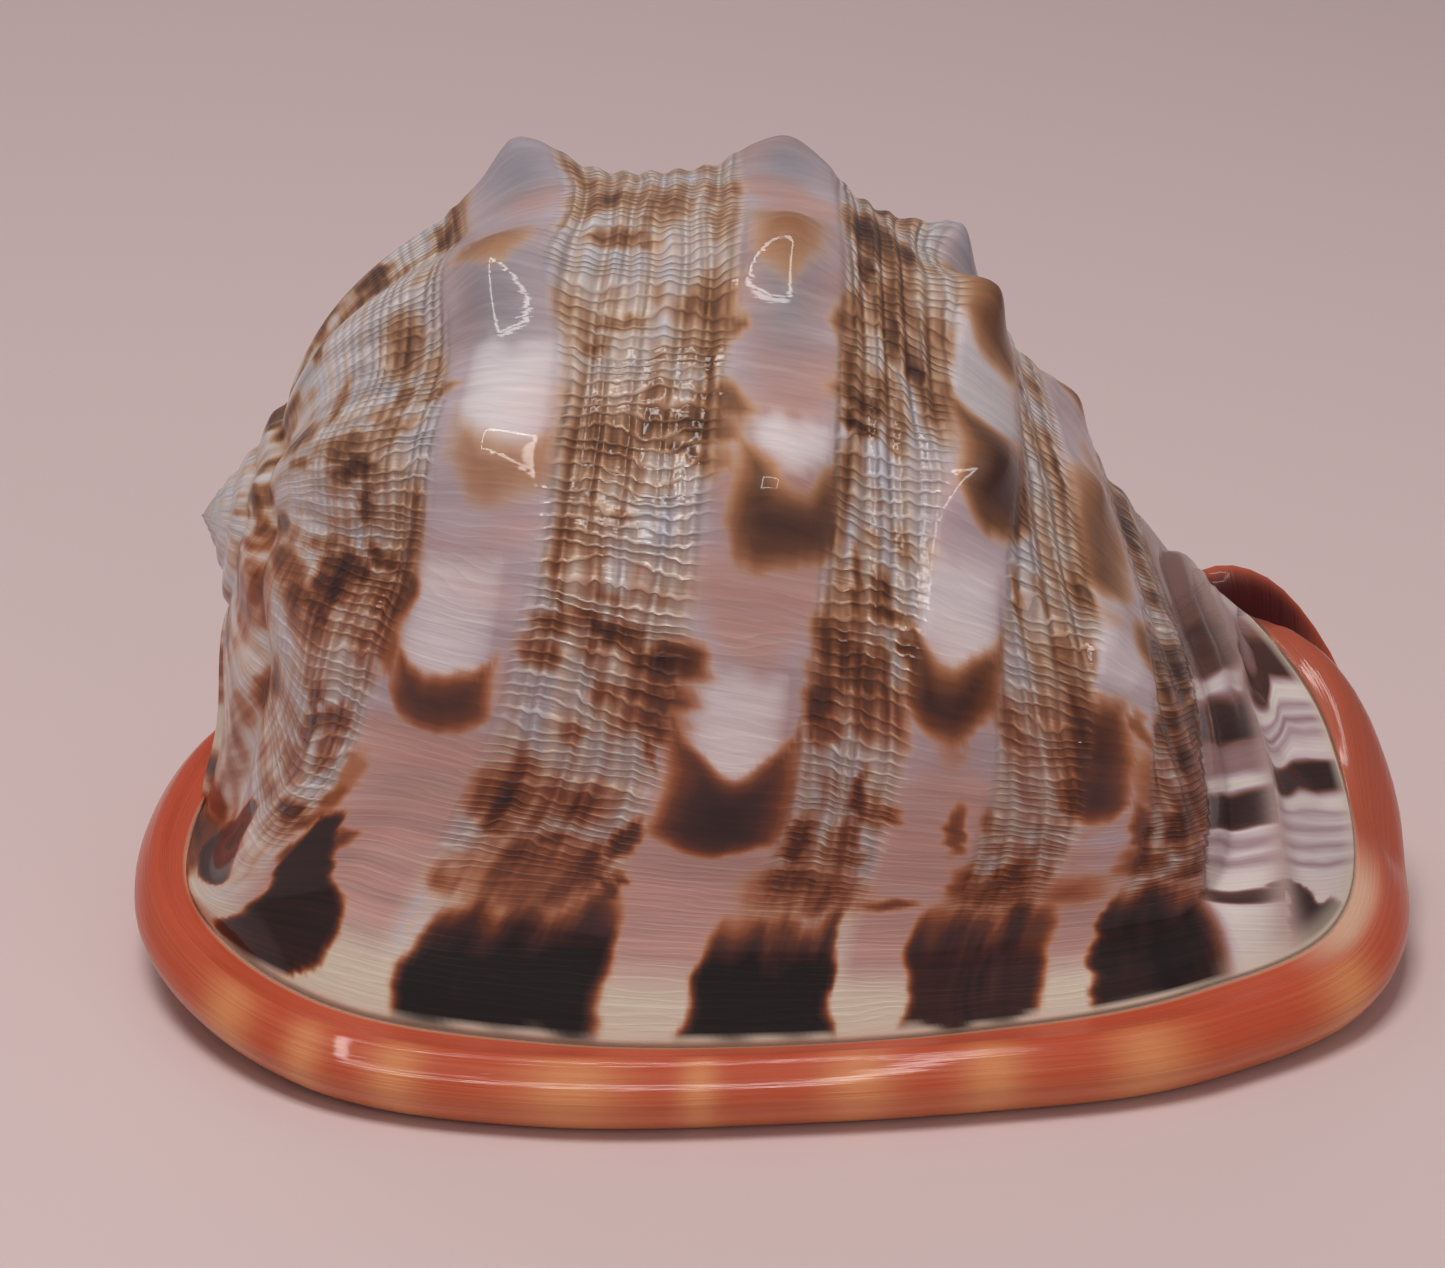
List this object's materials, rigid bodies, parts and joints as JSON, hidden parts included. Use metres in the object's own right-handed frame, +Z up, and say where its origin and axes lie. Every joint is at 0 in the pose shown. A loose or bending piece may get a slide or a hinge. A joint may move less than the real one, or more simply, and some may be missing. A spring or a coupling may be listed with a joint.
{
  "type": "helmet shell",
  "caption": "Large helmet sea shell lying on its mouth, with knobbed rows, low spire, thick glossy flange, toothed mouth slot and upturned canal.",
  "frame": {"origin": "middle of the footprint, on the surface the shell rests on", "axes": "+X along the shell from the spire end to the canal end, +Y from the outer lip to the far side, +Z up through the knobs of the back"},
  "size_m": [0.1464, 0.1154, 0.0885],
  "materials": {
    "shell": "gloss, mottled brown, cream and lilac with an orange-red flange"
  },
  "bodies": {
    "root": {"helmet_shell": "shell"}
  },
  "joints": []
}
